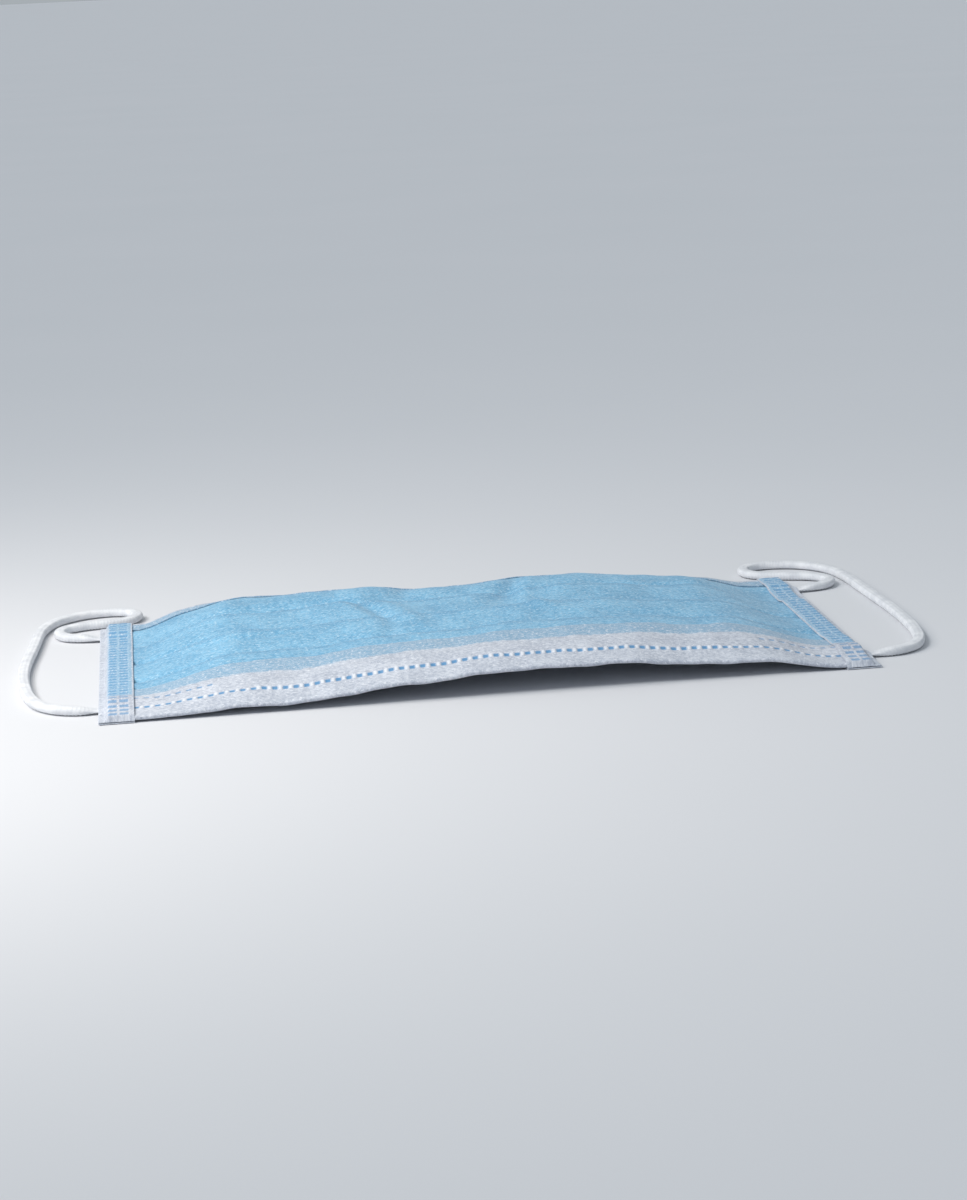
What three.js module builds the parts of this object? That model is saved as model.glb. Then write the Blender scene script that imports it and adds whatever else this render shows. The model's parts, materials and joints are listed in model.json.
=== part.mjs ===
// A flat-packed surgical face mask, lying pleats closed with its coloured face up.
// Millimetres. +X runs along the long side, +Y from the nose edge to the chin edge, +Z up.
// The origin is on the surface it lies on, under the middle of the cloth.
import * as THREE from "three";
import { mergeVertices } from "three/addons/utils/BufferGeometryUtils.js";

// Driving dimensions
const maskLength = 175;
const maskWidth = 95;
const clothWall = 0.7;
const plyGap = 0.3;
const noseHemWidth = 22;
const chinHemWidth = 8;
const bindingWidth = 8;
const firstFold = 29.5;
const pleatSpacing = 18;
const pleatDepth = 11;
const pleatCount = 3;
const liningTuck = 0.9;
const chinPuff = 1.8;
const puffReach = 24;
const archHeight = 3.6;
const camberHeight = 1.7;
const wireLength = 100;
const wireWidth = 4;
const wireWall = 0.6;
const wireInset = 9.5;
const pocketEase = 1.2;
const pocketRamp = 2;
const loopDiameter = 3;

// Heights of the two long edges above the surface, as shares of archHeight, along the length.
const archTable = [
  { along: 0.0, nose: 0.0, chin: 0.0 },
  { along: 0.12, nose: 0.1, chin: 0.44 },
  { along: 0.28, nose: 0.4, chin: 0.94 },
  { along: 0.5, nose: 0.88, chin: 0.66 },
  { along: 0.64, nose: 1.0, chin: 0.94 },
  { along: 0.8, nose: 0.67, chin: 0.75 },
  { along: 0.92, nose: 0.3, chin: 0.34 },
  { along: 1.0, nose: 0.0, chin: 0.0 },
];

// Dimples pressed into the cloth: centre and reach as shares of the length and width, depth of archHeight.
const dimpleTable = [
  { along: 0.42, across: 0.69, alongReach: 0.07, acrossReach: 0.16, depth: 0.2 },
  { along: 0.575, across: 0.65, alongReach: 0.07, acrossReach: 0.16, depth: 0.24 },
  { along: 0.24, across: 0.72, alongReach: 0.08, acrossReach: 0.14, depth: 0.14 },
];

// The free elastic of each side, as hand-laid points from the nose corner to the chin corner.
const rightLoopRoute = [
  [87.8, -36.5, 2.0],
  [92.0, -36.9, 1.8],
  [96.2, -35.4, 1.6],
  [99.8, -31.6, 1.6],
  [102.0, -25.5, 1.6],
  [103.3, -17.0, 1.6],
  [103.9, -7.5, 1.6],
  [104.0, 2.5, 1.6],
  [103.8, 12.5, 1.6],
  [103.4, 23.0, 1.6],
  [103.0, 33.5, 1.6],
  [102.6, 43.5, 1.6],
  [101.4, 53.0, 1.6],
  [97.6, 61.2, 1.6],
  [91.2, 66.2, 1.6],
  [84.2, 66.4, 1.6],
  [79.8, 61.8, 1.6],
  [81.4, 56.0, 1.6],
  [86.8, 53.0, 1.6],
  [92.2, 50.4, 1.6],
  [96.2, 45.8, 1.6],
  [96.4, 40.8, 1.6],
  [93.0, 37.3, 1.8],
  [87.8, 36.5, 2.0],
];
const leftLoopRoute = [
  [-87.8, -36.5, 2.0],
  [-92.2, -36.8, 1.8],
  [-96.6, -34.8, 1.6],
  [-100.2, -30.4, 1.6],
  [-102.6, -23.5, 1.6],
  [-104.0, -14.5, 1.6],
  [-104.8, -4.5, 1.6],
  [-104.9, 5.5, 1.6],
  [-104.4, 15.5, 1.6],
  [-103.6, 25.5, 1.6],
  [-102.9, 35.5, 1.6],
  [-102.3, 45.0, 1.6],
  [-100.4, 53.8, 1.6],
  [-95.8, 60.8, 1.6],
  [-89.2, 64.6, 1.6],
  [-82.4, 63.2, 1.6],
  [-79.2, 57.8, 1.6],
  [-82.4, 52.8, 1.6],
  [-88.2, 50.9, 1.6],
  [-93.6, 48.4, 1.6],
  [-97.0, 44.0, 1.6],
  [-96.6, 39.6, 1.6],
  [-92.8, 37.0, 1.8],
  [-87.8, 36.5, 2.0],
];

// Mesh fineness
const middleBays = 8;
const endBays = 3;
const clothStep = 6;
const hemStep = 1.3;
const turnSteps = 4;
const loopSides = 8;
const loopSteps = 60;

// Worked out from the driving dimensions
const plyPitch = clothWall + plyGap;
const foldLift = 2 * plyPitch;
const halfLength = maskLength / 2;
const noseEdge = -maskWidth / 2;
const chinEdge = maskWidth / 2;
const coverNose = noseEdge + plyPitch + clothWall / 2;
const coverChin = chinEdge - plyPitch - clothWall / 2;
const noseHemLine = noseEdge + noseHemWidth;
const chinHemLine = chinEdge - chinHemWidth;
const clothEnd = halfLength - bindingWidth - plyGap;
const coverEnd = halfLength - plyPitch - clothWall / 2;
const liningHeight = clothWall / 2;
const coverHeight = liningHeight + plyPitch;
const wirePitch = clothWall / 2 + plyGap + wireWall / 2;
const pocketLift = wireWall + plyGap;
const pocketEnd = wireLength / 2 + pocketEase + pocketRamp;
const puffRise = (foldLift * (pleatSpacing + pleatDepth)) / pleatSpacing;
const puffSlope = foldLift / pleatSpacing;
const tipReach = plyPitch + plyGap;
const foldEdges = Array.from({ length: pleatCount }, (_, i) => noseEdge + firstFold + i * pleatSpacing);
const innerFolds = foldEdges.map((edge) => edge - pleatDepth);

const clamp01 = (v) => Math.min(1, Math.max(0, v));
const ramp = (v, from, to) => THREE.MathUtils.smoothstep(v, from, to);

// A smooth curve through one column of a table, read at a share of the length.
function readTable(table, column, along) {
  let i = 0;
  while (i < table.length - 2 && along > table[i + 1].along) i += 1;
  const slope = (k) => {
    const before = table[Math.max(0, k - 1)];
    const after = table[Math.min(table.length - 1, k + 1)];
    return k === 0 || k === table.length - 1 ? 0 : (after[column] - before[column]) / (after.along - before.along);
  };
  const here = table[i];
  const next = table[i + 1];
  const span = next.along - here.along;
  const t = clamp01((along - here.along) / span);
  const t2 = t * t;
  const t3 = t2 * t;
  return (
    (2 * t3 - 3 * t2 + 1) * here[column] +
    (t3 - 2 * t2 + t) * span * slope(i) +
    (3 * t2 - 2 * t3) * next[column] +
    (t3 - t2) * span * slope(i + 1)
  );
}

// How far the pleats have sprung open: none under the bindings, fully between them.
function puffAt(x) {
  return ramp(clothEnd - Math.abs(x), 0, puffReach);
}

// The lift of all plies together at a place: the arch along the edges, the camber and the dimples.
function baseAt(x, y) {
  const along = clamp01((x + clothEnd) / (2 * clothEnd));
  const across = clamp01((y - noseEdge) / maskWidth);
  const nose = readTable(archTable, "nose", along);
  const chin = readTable(archTable, "chin", along);
  let lift = archHeight * THREE.MathUtils.lerp(nose, chin, across);
  lift += camberHeight * Math.sin(Math.PI * across) * puffAt(x);
  for (const dimple of dimpleTable) {
    const u = ((x + halfLength) / maskLength - dimple.along) / dimple.alongReach;
    const v = (across - dimple.across) / dimple.acrossReach;
    const away = u * u + v * v;
    if (away < 1) lift -= archHeight * dimple.depth * (1 - away) ** 2 * puffAt(x);
  }
  return Math.max(0, lift);
}

// Height of a visible panel of the cover over the flat ply, between one fold and the next.
function panelLevel(panel, y, puff) {
  const first = panel === 0;
  const last = panel === pleatCount;
  const start = first ? coverNose : innerFolds[panel - 1];
  let flat = 0;
  let open = puffSlope * (y - start);
  if (first) {
    const eased = clamp01((y - coverNose) / (foldEdges[0] - coverNose));
    open = puffRise * eased * (2 - eased);
  }
  if (!last) {
    const rampEnd = innerFolds[panel] - tipReach;
    const rampStart = first ? coverNose : foldEdges[panel - 1] + tipReach;
    flat = foldLift * ramp(y, rampStart, rampEnd);
  } else {
    const beyond = clamp01((y - foldEdges[panel - 1]) / (coverChin - foldEdges[panel - 1]));
    open = open * (1 - ramp(beyond, 0.1, 1)) + chinPuff * Math.sin(Math.PI * beyond) ** 2;
  }
  return THREE.MathUtils.lerp(flat, open, puff);
}

// Points along a run of cloth from one y to another, no further apart than a step.
function run(from, to, step, levelAt) {
  const points = [];
  const count = Math.max(2, Math.ceil(Math.abs(to - from) / step));
  for (let i = 0; i <= count; i += 1) {
    const y = from + ((to - from) * i) / count;
    points.push([y, levelAt(y)]);
  }
  return points;
}

// The half circle between two runs that lie over each other, without its two ends.
function turn(y, fromLevel, toLevel, side) {
  const points = [];
  const middle = (fromLevel + toLevel) / 2;
  const radius = (fromLevel - toLevel) / 2;
  for (let i = 1; i < turnSteps; i += 1) {
    const angle = (Math.PI * i) / turnSteps;
    points.push([y + side * Math.abs(radius) * Math.sin(angle), middle + radius * Math.cos(angle)]);
  }
  return points;
}

// The cover's path across the mask: panels joined by Z-shaped pleats whose outer folds face the chin.
function coverPath(x) {
  const puff = puffAt(x);
  const points = [];
  for (let panel = 0; panel <= pleatCount; panel += 1) {
    const start = panel === 0 ? noseHemLine : innerFolds[panel - 1];
    const end = panel === pleatCount ? chinHemLine : foldEdges[panel];
    const level = (y) => panelLevel(panel, y, puff);
    if (panel === 0) points.push(...run(coverNose, noseHemLine, 2 * hemStep, level).slice(0, -1));
    points.push(...run(start, end, clothStep, level));
    if (panel === pleatCount) {
      points.push(...run(chinHemLine, coverChin, clothStep / 2, level).slice(1));
      break;
    }
    const under = (y) => (panelLevel(panel, y, puff) + panelLevel(panel + 1, y, puff)) / 2;
    points.push(...turn(end, panelLevel(panel, end, puff), under(end), 1));
    points.push(...run(end, innerFolds[panel], clothStep, under));
    points.push(...turn(innerFolds[panel], under(innerFolds[panel]), panelLevel(panel + 1, innerFolds[panel], puff), -1));
  }
  return points.map(([y, level]) => [y, coverHeight + level + baseAt(x, y)]);
}

// The lining under the cover steps down a little where each pleat begins.
function liningLevel(y, puff) {
  let level = 0;
  innerFolds.forEach((fold, i) => {
    const start = i === 0 ? coverNose : innerFolds[i - 1];
    if (y < start || y > fold) return;
    const rise = (y - start) / (fold - start);
    level = liningTuck * rise * (1 - ramp(y, fold - tipReach - foldLift, fold - tipReach)) * puff;
  });
  return level;
}

// How far the nose hem stands off the cover to make room for the wire.
function pocketAt(x, y) {
  const lengthwise = 1 - ramp(Math.abs(x), wireLength / 2 + plyGap, pocketEnd);
  const fromWire = Math.abs(y - (noseEdge + wireInset)) - wireWidth / 2 - pocketEase;
  return pocketLift * lengthwise * (1 - ramp(fromWire, 0, pocketRamp));
}

// The lining's path: chin hem, round the chin edge, under the whole mask, round the nose edge, nose hem.
function liningPath(x) {
  const puff = puffAt(x);
  const lastPanel = (y) => panelLevel(pleatCount, y, puff) + plyPitch;
  const firstPanel = (y) => panelLevel(0, y, puff) + plyPitch + pocketAt(x, y);
  const under = (y) => liningLevel(y, puff) - plyPitch;
  const points = [
    ...run(chinHemLine, coverChin, clothStep / 2, lastPanel),
    ...turn(coverChin, lastPanel(coverChin), under(coverChin), 1),
    ...run(coverChin, innerFolds[pleatCount - 1], clothStep, under),
  ];
  for (let i = pleatCount - 1; i >= 0; i -= 1) {
    const fold = innerFolds[i];
    points.push([fold - tipReach, under(fold - tipReach)], [fold - tipReach - foldLift, under(fold - tipReach - foldLift)]);
    const next = i === 0 ? coverNose : innerFolds[i - 1];
    points.push(...run(fold - tipReach - foldLift, next, clothStep, under).slice(1));
  }
  points.push(...turn(coverNose, under(coverNose), firstPanel(coverNose), -1));
  points.push(...run(coverNose, noseHemLine, hemStep, firstPanel));
  return points.map(([y, level]) => [y, coverHeight + level + baseAt(x, y)]).reverse();
}

// The nose wire's path: flat on the cover, inside the nose hem.
function wirePath(x) {
  const middle = noseEdge + wireInset;
  const level = (y) => panelLevel(0, y, puffAt(x)) + wirePitch;
  return run(middle - wireWidth / 2, middle + wireWidth / 2, hemStep, level).map(([y, height]) => [
    y,
    coverHeight + height + baseAt(x, y),
  ]);
}

// The binding's path at a place along the short side: lower leg, round the end, upper leg.
function bindingPath(y) {
  const plateau = ramp(y, coverNose, innerFolds[0] - tipReach) * (1 - ramp(y, foldEdges[pleatCount - 1] + tipReach, coverChin));
  const low = liningHeight;
  const high = coverHeight + plyPitch + foldLift * plateau;
  const inner = halfLength - bindingWidth;
  const bend = halfLength - clothWall / 2 - plyPitch / 2;
  const points = [
    [inner, low],
    [bend, low],
  ];
  for (let i = 1; i < turnSteps; i += 1) {
    const angle = (Math.PI * i) / turnSteps;
    points.push([bend + (plyPitch / 2) * Math.sin(angle), (low + high) / 2 - ((high - low) / 2) * Math.cos(angle)]);
  }
  points.push([bend, high], [inner, high]);
  return points;
}

// Offsets a path to both sides by half the wall and gives the two lines of points.
function thicken(path, wall) {
  return path.map((point, i) => {
    const before = path[Math.max(0, i - 1)];
    const after = path[Math.min(path.length - 1, i + 1)];
    const along = new THREE.Vector2(after[0] - before[0], after[1] - before[1]).normalize();
    const half = wall / 2;
    return [
      [point[0] - along.y * half, point[1] + along.x * half],
      [point[0] + along.y * half, point[1] - along.x * half],
    ];
  });
}

// A closed strip of cloth: a path with a wall, carried along stations on the third axis.
function clothGeometry(stations, pathAt, wall, place) {
  const rows = stations.map((station) => thicken(pathAt(station), wall).map((pair) => pair.map((q) => place(station, q))));
  const columns = rows[0].length;
  const positions = [];
  const quad = (a, b, c, d) => positions.push(...a, ...b, ...c, ...a, ...c, ...d);
  for (let s = 0; s < rows.length - 1; s += 1) {
    const here = rows[s];
    const next = rows[s + 1];
    for (let i = 0; i < columns - 1; i += 1) {
      quad(here[i][0], next[i][0], next[i + 1][0], here[i + 1][0]);
      quad(here[i][1], here[i + 1][1], next[i + 1][1], next[i][1]);
    }
    quad(here[0][0], here[0][1], next[0][1], next[0][0]);
    quad(here[columns - 1][0], next[columns - 1][0], next[columns - 1][1], here[columns - 1][1]);
  }
  for (let i = 0; i < columns - 1; i += 1) {
    const first = rows[0];
    const last = rows[rows.length - 1];
    quad(first[i][0], first[i + 1][0], first[i + 1][1], first[i][1]);
    quad(last[i][0], last[i][1], last[i + 1][1], last[i + 1][0]);
  }
  const geometry = new THREE.BufferGeometry();
  geometry.setAttribute("position", new THREE.Float32BufferAttribute(positions, 3));
  return mergeVertices(geometry, 1e-4);
}

// Evenly spaced stations from one place to another.
function stationsBetween(from, to, count) {
  return Array.from({ length: count + 1 }, (_, i) => from + ((to - from) * i) / count);
}

// The places along the mask where every ply is drawn, so that plies bend alike.
function clothStations() {
  const puffEnd = clothEnd - puffReach;
  const even = [
    ...stationsBetween(-clothEnd, -puffEnd, endBays),
    ...stationsBetween(-puffEnd, puffEnd, middleBays).slice(1, -1),
    ...stationsBetween(puffEnd, clothEnd, endBays),
  ];
  const wireEnds = [-wireLength / 2, wireLength / 2];
  const soft = [...even, -pocketEnd, pocketEnd, ...dimpleTable.map((dimple) => (dimple.along - 0.5) * maskLength)];
  const apart = soft.sort((a, b) => a - b).filter((x, i) => i === 0 || x - soft[i - 1] > clothWall);
  const clear = apart.filter((x) => Math.abs(x) <= clothEnd && wireEnds.every((end) => Math.abs(x - end) > clothWall));
  return [...clear, ...wireEnds].sort((a, b) => a - b);
}

const acrossPlace = (x, [y, z]) => [x, y, z];

const materials = {
  cover: new THREE.MeshStandardMaterial({ color: 0x9cc7ea, roughness: 0.85, metalness: 0 }),
  lining: new THREE.MeshStandardMaterial({ color: 0xf1f2f6, roughness: 0.9, metalness: 0 }),
  binding: new THREE.MeshStandardMaterial({ color: 0xe4ecf6, roughness: 0.85, metalness: 0 }),
  elastic: new THREE.MeshStandardMaterial({ color: 0xfafafa, roughness: 0.8, metalness: 0 }),
  wire: new THREE.MeshStandardMaterial({ color: 0xe8e9ea, roughness: 0.5, metalness: 0 }),
};

function makeCover() {
  const stations = [-coverEnd, ...clothStations(), coverEnd];
  const mesh = new THREE.Mesh(clothGeometry(stations, coverPath, clothWall, acrossPlace), materials.cover);
  mesh.name = "outer_cover";
  return mesh;
}

function makeLining() {
  const stations = clothStations();
  const mesh = new THREE.Mesh(clothGeometry(stations, liningPath, clothWall, acrossPlace), materials.lining);
  mesh.name = "inner_lining";
  return mesh;
}

function makeWire() {
  const stations = clothStations().filter((x) => Math.abs(x) <= wireLength / 2);
  const mesh = new THREE.Mesh(clothGeometry(stations, wirePath, wireWall, acrossPlace), materials.wire);
  mesh.name = "nose_wire";
  return mesh;
}

function makeBinding(side) {
  const crests = [coverNose, innerFolds[0] - tipReach, foldEdges[pleatCount - 1] + tipReach, coverChin];
  const stations = [
    noseEdge,
    ...stationsBetween(crests[0], crests[1], 4),
    ...stationsBetween(crests[1], crests[2], 4).slice(1, -1),
    ...stationsBetween(crests[2], crests[3], 4),
    chinEdge,
  ];
  const ordered = side > 0 ? stations.reverse() : stations;
  const geometry = clothGeometry(ordered, bindingPath, clothWall, (y, [x, z]) => [side * x, y, z]);
  const mesh = new THREE.Mesh(geometry, materials.binding);
  mesh.name = side > 0 ? "side_binding_right" : "side_binding_left";
  return mesh;
}

function makeLoop(name, route) {
  const section = new THREE.Shape();
  for (let i = 0; i < loopSides; i += 1) {
    const angle = (2 * Math.PI * i) / loopSides;
    const corner = [(loopDiameter / 2) * Math.cos(angle), (loopDiameter / 2) * Math.sin(angle)];
    if (i === 0) section.moveTo(...corner);
    else section.lineTo(...corner);
  }
  const curve = new THREE.CatmullRomCurve3(route.map((q) => new THREE.Vector3(...q)), false, "centripetal");
  const geometry = new THREE.ExtrudeGeometry(section, { steps: loopSteps, bevelEnabled: false, extrudePath: curve });
  const mesh = new THREE.Mesh(geometry, materials.elastic);
  mesh.name = name;
  return mesh;
}

const mask = new THREE.Group();
mask.add(makeCover(), makeLining(), makeWire());
mask.add(makeBinding(-1), makeBinding(1));
mask.add(makeLoop("ear_loop_left", leftLoopRoute), makeLoop("ear_loop_right", rightLoopRoute));

export default mask;
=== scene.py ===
"""A flat-packed surgical face mask: cloth, weld marks and elastic, with studio light and the camera."""

import json
import math

import bpy
import numpy as np
from mathutils import Matrix, Vector

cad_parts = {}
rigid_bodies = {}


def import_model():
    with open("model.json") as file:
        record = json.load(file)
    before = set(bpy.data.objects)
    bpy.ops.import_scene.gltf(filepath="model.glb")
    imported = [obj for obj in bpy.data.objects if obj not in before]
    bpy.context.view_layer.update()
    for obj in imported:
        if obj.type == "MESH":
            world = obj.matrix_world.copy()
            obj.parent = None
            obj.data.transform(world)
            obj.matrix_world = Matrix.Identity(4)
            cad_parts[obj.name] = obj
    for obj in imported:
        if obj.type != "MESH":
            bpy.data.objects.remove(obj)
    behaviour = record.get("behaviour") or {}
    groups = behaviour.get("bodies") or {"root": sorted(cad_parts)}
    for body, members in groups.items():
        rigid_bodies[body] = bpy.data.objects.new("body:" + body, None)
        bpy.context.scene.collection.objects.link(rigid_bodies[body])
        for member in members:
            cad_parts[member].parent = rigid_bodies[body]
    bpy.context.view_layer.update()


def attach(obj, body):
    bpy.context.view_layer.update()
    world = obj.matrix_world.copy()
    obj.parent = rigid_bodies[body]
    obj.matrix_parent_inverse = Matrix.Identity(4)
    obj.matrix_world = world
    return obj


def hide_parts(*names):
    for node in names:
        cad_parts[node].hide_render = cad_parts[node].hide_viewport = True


MM = 0.001

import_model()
for thing in bpy.data.objects:
    thing.select_set(False)


# Light, floor and camera

CAMERA_AT = Vector((-0.07254, -0.66638, 0.15645))
CAMERA_RIGHT = Vector((0.99136, -0.12311, -0.04516))
CAMERA_UP = Vector((0.06986, 0.20434, 0.97640))
CAMERA_LENS = 87.105
PHOTO_SIDE = 36.0
SKY_COLOUR = (0.86, 0.94, 1.0, 1.0)
SKY_STRENGTH = 0.45


def make_camera():
    lens = bpy.data.cameras.new("camera")
    lens.sensor_fit = "VERTICAL"
    lens.sensor_height = PHOTO_SIDE
    lens.lens = CAMERA_LENS
    lens.clip_start = 0.01
    camera = bpy.data.objects.new("camera", lens)
    right = CAMERA_RIGHT.normalized()
    back = right.cross(CAMERA_UP).normalized()
    up = back.cross(right)
    turn = Matrix((right, up, back)).transposed().to_4x4()
    camera.matrix_world = Matrix.Translation(CAMERA_AT) @ turn
    bpy.context.scene.collection.objects.link(camera)
    bpy.context.scene.camera = camera


def make_light(name, at, towards, size, power, colour):
    lamp = bpy.data.lights.new(name, "AREA")
    lamp.shape = "RECTANGLE"
    lamp.size, lamp.size_y = size
    lamp.energy = power
    lamp.color = colour
    holder = bpy.data.objects.new(name, lamp)
    aim = Vector(towards) - Vector(at)
    holder.matrix_world = Matrix.Translation(at) @ aim.to_track_quat("-Z", "Y").to_matrix().to_4x4()
    bpy.context.scene.collection.objects.link(holder)


def make_sun(name, towards, spread, strength, colour):
    lamp = bpy.data.lights.new(name, "SUN")
    lamp.angle = math.radians(spread)
    lamp.energy = strength
    lamp.color = colour
    holder = bpy.data.objects.new(name, lamp)
    holder.matrix_world = Vector(towards).to_track_quat("-Z", "Y").to_matrix().to_4x4()
    bpy.context.scene.collection.objects.link(holder)


def make_studio():
    world = bpy.data.worlds.new("studio")
    bpy.context.scene.world = world
    world.use_nodes = True
    ground = world.node_tree.nodes["Background"]
    ground.inputs["Color"].default_value = SKY_COLOUR
    ground.inputs["Strength"].default_value = SKY_STRENGTH
    make_sun("key_sun", towards=(0.62, 0.30, -0.72), spread=16.0, strength=1.25, colour=(0.96, 0.98, 1.0))
    make_light(
        "left_light", at=(-0.21, -0.06, 0.22), towards=(-0.06, 0.01, 0.0), size=(0.18, 0.18),
        power=0.56, colour=(1.0, 0.94, 0.87),
    )
    bpy.context.scene.view_settings.view_transform = "Standard"


make_camera()
make_studio()


# Shader arithmetic


class Flow:
    """What one socket of a shader gives, with arithmetic on it."""

    def __init__(self, shade, socket):
        self.shade = shade
        self.socket = socket

    def _math(self, operation, first, second):
        return self.shade.node("ShaderNodeMath", {"operation": operation}, {0: first, 1: second})

    def __add__(self, other):
        return self._math("ADD", self, other)

    def __sub__(self, other):
        return self._math("SUBTRACT", self, other)

    def __rsub__(self, other):
        return self._math("SUBTRACT", other, self)

    def __mul__(self, other):
        return self._math("MULTIPLY", self, other)

    def __truediv__(self, other):
        return self._math("DIVIDE", self, other)

    def __pow__(self, other):
        return self._math("POWER", self, other)

    __radd__ = __add__
    __rmul__ = __mul__


class Shade:
    """A material with one Principled surface, and the nodes that feed it."""

    def __init__(self, name):
        self.material = bpy.data.materials.new(name)
        self.material.use_nodes = True
        self.tree = self.material.node_tree
        self.surface = self.tree.nodes["Principled BSDF"]

    def node(self, kind, settings=None, sockets=None, out=0):
        made = self.tree.nodes.new(kind)
        for key, value in (settings or {}).items():
            setattr(made, key, value)
        for key, value in (sockets or {}).items():
            self.feed(made.inputs[key], value)
        return Flow(self, made.outputs[out])

    def feed(self, target, value):
        if isinstance(value, Flow):
            self.tree.links.new(value.socket, target)
        else:
            target.default_value = value

    def set(self, **sockets):
        for key, value in sockets.items():
            self.feed(self.surface.inputs[key.replace("_", " ")], value)

    def cloth_place(self):
        return self.node("ShaderNodeUVMap", {"uv_map": "cloth"})

    def object_place(self):
        return self.node("ShaderNodeTexCoord", out=3)

    def axes(self, place):
        parts = self.node("ShaderNodeSeparateXYZ", None, {0: place})
        return [Flow(self, output) for output in parts.socket.node.outputs]

    def step(self, value, low, high):
        settings = {"interpolation_type": "SMOOTHSTEP"}
        return self.node("ShaderNodeMapRange", settings, {0: value, 1: low, 2: high, 3: 0.0, 4: 1.0})

    def greater(self, first, second):
        return self.node("ShaderNodeMath", {"operation": "MAXIMUM"}, {0: first, 1: second})

    def magnitude(self, value):
        return self.node("ShaderNodeMath", {"operation": "ABSOLUTE"}, {0: value})

    def fraction(self, value):
        return self.node("ShaderNodeMath", {"operation": "FRACT"}, {0: value})

    def noise(self, place, scale, detail=2.0, roughness=0.5):
        sockets = {"Vector": place, "Scale": scale, "Detail": detail, "Roughness": roughness}
        return self.node("ShaderNodeTexNoise", None, sockets)

    def turned(self, place, angle, size):
        sockets = {"Vector": place, "Rotation": (0.0, 0.0, math.radians(angle)), "Scale": (*size, 1.0)}
        return self.node("ShaderNodeMapping", {"vector_type": "TEXTURE"}, sockets)

    def blend(self, factor, first, second):
        settings = {"data_type": "RGBA"}
        return self.node("ShaderNodeMix", settings, {0: factor, 6: first, 7: second}, out=2)


def tint(red, green, blue):
    """A colour as a screen shows it, from 0 to 255, turned into light."""
    return tuple(((c / 255 + 0.055) / 1.055) ** 2.4 for c in (red, green, blue)) + (1.0,)


def fibres(shade, place):
    """Fine fibres lying every way, more of them along the cloth, from 0 to 1."""
    found = None
    for angle, size in ((12, (2.2, 0.24)), (-24, (1.8, 0.22)), (52, (1.4, 0.2)), (-66, (1.2, 0.2))):
        one = shade.noise(shade.turned(place, angle, size), 1.0, 1.0)
        line = shade.step(one, 0.55, 0.74)
        found = line if found is None else shade.greater(found, line)
    return found


def bond_points(shade, place, pitch=1.5, reach=(0.42, 0.2)):
    """Rows of small slanted ovals where the fibres are pressed together."""
    found = None
    for lattice in (0.0, 0.5):
        across, along, _ = shade.axes(place)
        u = shade.fraction(across / pitch + lattice) * pitch - pitch / 2
        v = shade.fraction(along / pitch + lattice) * pitch - pitch / 2
        slanted_u = u * 0.86 + v * 0.5
        slanted_v = v * 0.86 - u * 0.5
        away = (slanted_u / reach[0]) ** 2.0 + (slanted_v / reach[1]) ** 2.0
        oval = 1 - shade.step(away, 0.5, 1.4)
        found = oval if found is None else shade.greater(found, oval)
    return found


def spunbond(shade, dark, light, fleck, tints=None, marks=None, strength=0.35):
    """Thin bonded cloth. tints lie under the fibres and marks over them, each a place and its colour."""
    place = shade.cloth_place()
    cloudy = shade.noise(place, 0.11, 3.0, 0.6)
    grain = shade.noise(place, 0.85, 3.0, 0.7)
    sparkle = shade.noise(shade.turned(place, 8, (0.8, 0.55)), 1.0, 1.0, 0.6)
    lines = fibres(shade, place)
    points = bond_points(shade, place)
    colour = shade.blend(shade.step(cloudy * 0.4 + grain * 0.6, 0.38, 0.62), dark, light)
    rough = 0.78 - points * 0.2
    for mask, tint_colour in (tints(shade, place) if tints else ()):
        colour = shade.blend(mask, colour, tint_colour)
    colour = shade.blend(lines * 0.42, colour, fleck)
    colour = shade.blend(shade.step(sparkle, 0.54, 0.72) * 0.6, colour, fleck)
    colour = shade.blend(points * 0.26, colour, dark)
    for mask, mark_colour in (marks(shade, place) if marks else ()):
        colour = shade.blend(mask, colour, mark_colour)
        rough = rough - mask * 0.16
    height = lines * 0.5 + grain * 0.5 - points * 0.55
    relief = shade.node("ShaderNodeBump", None, {"Strength": strength, "Distance": 0.00025, "Height": height})
    shade.set(Base_Color=colour, Roughness=rough, Normal=relief)
    shade.set(Sheen_Weight=0.18, Sheen_Roughness=0.5, Specular_IOR_Level=0.35)
    return shade.material


# Sizes, in millimetres

LENGTH = 175.0
WIDTH = 95.0
HALF = LENGTH / 2
NOSE_EDGE = -WIDTH / 2
CHIN_EDGE = WIDTH / 2
WALL = 0.22
BINDING_WALL = 0.2

# Distances between the middles of two plies, and heights of the flat plies over the floor
PLY = 0.42
HEM_PLY = 0.46
TOUCHING = 0.33
LINING_HEIGHT = 0.52
COVER_HEIGHT = LINING_HEIGHT + PLY

# Where each cloth ends
BINDING_WIDTH = 8.0
BINDING_INNER = HALF - BINDING_WIDTH
CLOTH_END = 79.2
PLY_END = 85.1
WHITE_BAND = 15.0
NOSE_WRAP = 22.0
CHIN_WRAP = 8.0
HEM_PRESSED = 1.8
COVER_INSET = 0.75
COVER_NOSE = NOSE_EDGE + COVER_INSET
COVER_CHIN = CHIN_EDGE - COVER_INSET

# Pleats
FIRST_FOLD = 29.5
SPACING = 18.0
FOLDS = tuple(NOSE_EDGE + FIRST_FOLD + SPACING * k for k in range(3))
PLEAT_DEPTH = 11.0
INNER = tuple(fold - PLEAT_DEPTH for fold in FOLDS)
FOLD_LIFT = 2.6
PUFF_RISE = FOLD_LIFT * (SPACING + PLEAT_DEPTH) / SPACING
PUFF_SLOPE = FOLD_LIFT / SPACING
TIP = 1.6
LINING_RISE = 0.5
END_PRESS = 0.28
MIDDLE_PRESS = 0.66

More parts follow.
